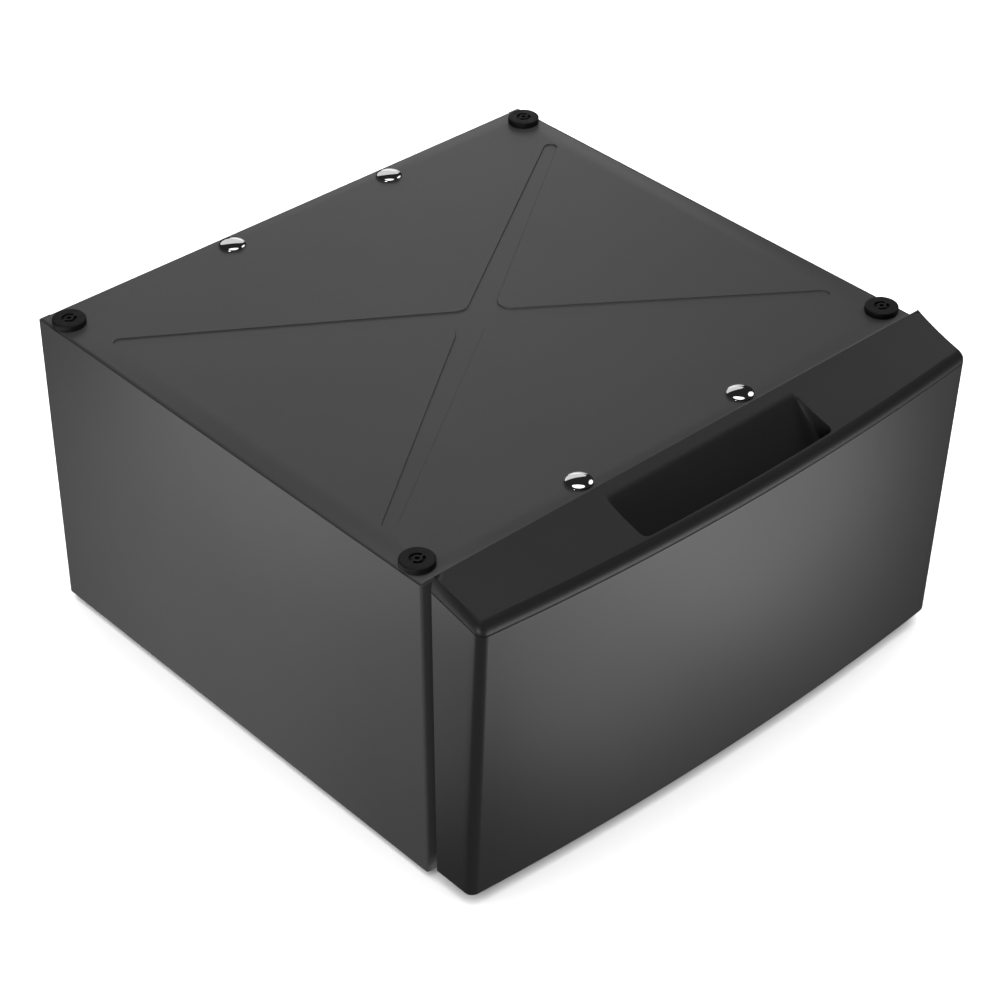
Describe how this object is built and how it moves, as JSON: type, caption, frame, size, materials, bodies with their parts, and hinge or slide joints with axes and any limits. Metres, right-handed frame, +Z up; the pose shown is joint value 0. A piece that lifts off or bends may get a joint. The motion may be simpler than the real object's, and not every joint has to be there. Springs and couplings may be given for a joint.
{
  "type": "laundry pedestal",
  "caption": "Steel laundry pedestal with a storage drawer on ball slides, a bowed front with a scoop handle, rubber top pads and levelling feet.",
  "frame": {"origin": "on the floor, under the centre of the object's box", "axes": "+Z up; the drawer front faces -Y and opens that way; +X is to the right of someone facing the front"},
  "size_m": [0.686, 0.71, 0.3873],
  "materials": {
    "painted_steel": "smooth semi-matt dark grey powder paint",
    "satin_metal": "satin dark coated steel",
    "cap_plastic": "fine matt charcoal plastic",
    "black_plastic": "matt black plastic",
    "rubber": "matt black rubber",
    "chrome": "polished chrome",
    "zinc_steel": "zinc-plated steel",
    "bright_steel": "bright rolled steel"
  },
  "bodies": {
    "cabinet": {"top_panel": "painted_steel", "left_side_panel": "painted_steel", "right_side_panel": "painted_steel", "back_panel": "painted_steel", "front_lower_rail": "zinc_steel", "front_upper_rail": "zinc_steel", "back_lower_rail": "zinc_steel", "left_slide_rail": "zinc_steel", "right_slide_rail": "zinc_steel", "front_left_foot_bracket": "zinc_steel", "front_right_foot_bracket": "zinc_steel", "back_left_foot_bracket": "zinc_steel", "back_right_foot_bracket": "zinc_steel", "front_left_top_pad": "rubber", "front_right_top_pad": "rubber", "back_left_top_pad": "rubber", "back_right_top_pad": "rubber", "front_left_hold_down_bolt": "chrome", "front_right_hold_down_bolt": "chrome", "back_left_hold_down_bolt": "chrome", "back_right_hold_down_bolt": "chrome", "left_drawer_bumper": "rubber", "right_drawer_bumper": "rubber", "left_slide_cabinet_member": "zinc_steel", "right_slide_cabinet_member": "zinc_steel"},
    "drawer": {"drawer_front_panel": "satin_metal", "drawer_front_cap": "cap_plastic", "drawer_front_inner_panel": "painted_steel", "drawer_tray": "painted_steel", "drawer_left_side": "painted_steel", "drawer_right_side": "painted_steel", "drawer_back": "painted_steel", "drawer_left_front_bracket": "zinc_steel", "drawer_right_front_bracket": "zinc_steel", "drawer_front_screw_lower_left": "zinc_steel", "drawer_front_screw_lower_right": "zinc_steel", "drawer_front_screw_upper_left": "zinc_steel", "drawer_front_screw_upper_right": "zinc_steel", "left_slide_drawer_member": "zinc_steel", "right_slide_drawer_member": "zinc_steel"},
    "left_slide_middle": {"left_slide_middle_member": "zinc_steel"},
    "left_outer_cage": {"left_slide_outer_cage": "bright_steel"},
    "left_inner_cage": {"left_slide_inner_cage": "bright_steel"},
    "right_slide_middle": {"right_slide_middle_member": "zinc_steel"},
    "right_outer_cage": {"right_slide_outer_cage": "bright_steel"},
    "right_inner_cage": {"right_slide_inner_cage": "bright_steel"},
    "left_release_lever": {"left_release_lever": "black_plastic"},
    "right_release_lever": {"right_release_lever": "black_plastic"},
    "front_left_foot": {"front_left_foot_pad": "black_plastic"},
    "front_left_stud": {"front_left_foot_stud": "bright_steel"},
    "front_left_nut": {"front_left_lock_nut": "zinc_steel"},
    "front_right_foot": {"front_right_foot_pad": "black_plastic"},
    "front_right_stud": {"front_right_foot_stud": "bright_steel"},
    "front_right_nut": {"front_right_lock_nut": "zinc_steel"},
    "back_left_foot": {"back_left_foot_pad": "black_plastic"},
    "back_left_stud": {"back_left_foot_stud": "bright_steel"},
    "back_left_nut": {"back_left_lock_nut": "zinc_steel"},
    "back_right_foot": {"back_right_foot_pad": "black_plastic"},
    "back_right_stud": {"back_right_foot_stud": "bright_steel"},
    "back_right_nut": {"back_right_lock_nut": "zinc_steel"}
  },
  "joints": [
    {"name": "drawer_slide", "type": "slide", "parent": "cabinet", "child": "drawer", "axis": [0, -1, 0], "range_m": [0, 0.44]},
    {"name": "left_slide_middle_travel", "type": "slide", "parent": "cabinet", "child": "left_slide_middle", "axis": [0, -1, 0], "range_m": [0, 0.22]},
    {"name": "left_outer_cage_travel", "type": "slide", "parent": "cabinet", "child": "left_outer_cage", "axis": [0, -1, 0], "range_m": [0, 0.11]},
    {"name": "left_inner_cage_travel", "type": "slide", "parent": "cabinet", "child": "left_inner_cage", "axis": [0, -1, 0], "range_m": [0, 0.33]},
    {"name": "right_slide_middle_travel", "type": "slide", "parent": "cabinet", "child": "right_slide_middle", "axis": [0, -1, 0], "range_m": [0, 0.22]},
    {"name": "right_outer_cage_travel", "type": "slide", "parent": "cabinet", "child": "right_outer_cage", "axis": [0, -1, 0], "range_m": [0, 0.11]},
    {"name": "right_inner_cage_travel", "type": "slide", "parent": "cabinet", "child": "right_inner_cage", "axis": [0, -1, 0], "range_m": [0, 0.33]},
    {"name": "left_lever_press", "type": "hinge", "parent": "drawer", "child": "left_release_lever", "pos_m": [-0.31205, -0.14, 0.175], "axis": [1, 0, 0], "range_deg": [-5, 5], "stiffness_Nm_per_rad": 0.05},
    {"name": "right_lever_press", "type": "hinge", "parent": "drawer", "child": "right_release_lever", "pos_m": [0.31205, -0.14, 0.175], "axis": [1, 0, 0], "range_deg": [-5, 5], "stiffness_Nm_per_rad": 0.05},
    {"name": "front_left_foot_height", "type": "slide", "parent": "cabinet", "child": "front_left_foot", "axis": [0, 0, -1], "range_m": [0, 0.015]},
    {"name": "front_left_stud_turn", "type": "hinge", "parent": "front_left_foot", "child": "front_left_stud", "pos_m": [-0.308, -0.199, 0.02], "axis": [0, 0, -1], "range_deg": [0, 3600]},
    {"name": "front_left_nut_turn", "type": "hinge", "parent": "cabinet", "child": "front_left_nut", "pos_m": [-0.308, -0.199, 0.0121], "axis": [0, 0, -1], "range_deg": [0, 360]},
    {"name": "front_right_foot_height", "type": "slide", "parent": "cabinet", "child": "front_right_foot", "axis": [0, 0, -1], "range_m": [0, 0.015]},
    {"name": "front_right_stud_turn", "type": "hinge", "parent": "front_right_foot", "child": "front_right_stud", "pos_m": [0.308, -0.199, 0.02], "axis": [0, 0, -1], "range_deg": [0, 3600]},
    {"name": "front_right_nut_turn", "type": "hinge", "parent": "cabinet", "child": "front_right_nut", "pos_m": [0.308, -0.199, 0.0121], "axis": [0, 0, -1], "range_deg": [0, 360]},
    {"name": "back_left_foot_height", "type": "slide", "parent": "cabinet", "child": "back_left_foot", "axis": [0, 0, -1], "range_m": [0, 0.015]},
    {"name": "back_left_stud_turn", "type": "hinge", "parent": "back_left_foot", "child": "back_left_stud", "pos_m": [-0.308, 0.293, 0.02], "axis": [0, 0, -1], "range_deg": [0, 3600]},
    {"name": "back_left_nut_turn", "type": "hinge", "parent": "cabinet", "child": "back_left_nut", "pos_m": [-0.308, 0.293, 0.0121], "axis": [0, 0, -1], "range_deg": [0, 360]},
    {"name": "back_right_foot_height", "type": "slide", "parent": "cabinet", "child": "back_right_foot", "axis": [0, 0, -1], "range_m": [0, 0.015]},
    {"name": "back_right_stud_turn", "type": "hinge", "parent": "back_right_foot", "child": "back_right_stud", "pos_m": [0.308, 0.293, 0.02], "axis": [0, 0, -1], "range_deg": [0, 3600]},
    {"name": "back_right_nut_turn", "type": "hinge", "parent": "cabinet", "child": "back_right_nut", "pos_m": [0.308, 0.293, 0.0121], "axis": [0, 0, -1], "range_deg": [0, 360]}
  ],
  "couplings": [
    {"joint": "left_slide_middle_travel", "follows": "drawer_slide", "ratio": 0.5},
    {"joint": "left_outer_cage_travel", "follows": "drawer_slide", "ratio": 0.25},
    {"joint": "left_inner_cage_travel", "follows": "drawer_slide", "ratio": 0.75},
    {"joint": "right_slide_middle_travel", "follows": "drawer_slide", "ratio": 0.5},
    {"joint": "right_outer_cage_travel", "follows": "drawer_slide", "ratio": 0.25},
    {"joint": "right_inner_cage_travel", "follows": "drawer_slide", "ratio": 0.75},
    {"joint": "front_left_stud_turn", "follows": "front_left_foot_height", "rad_per_m": 4188.8},
    {"joint": "front_right_stud_turn", "follows": "front_right_foot_height", "rad_per_m": 4188.8},
    {"joint": "back_left_stud_turn", "follows": "back_left_foot_height", "rad_per_m": 4188.8},
    {"joint": "back_right_stud_turn", "follows": "back_right_foot_height", "rad_per_m": 4188.8}
  ]
}
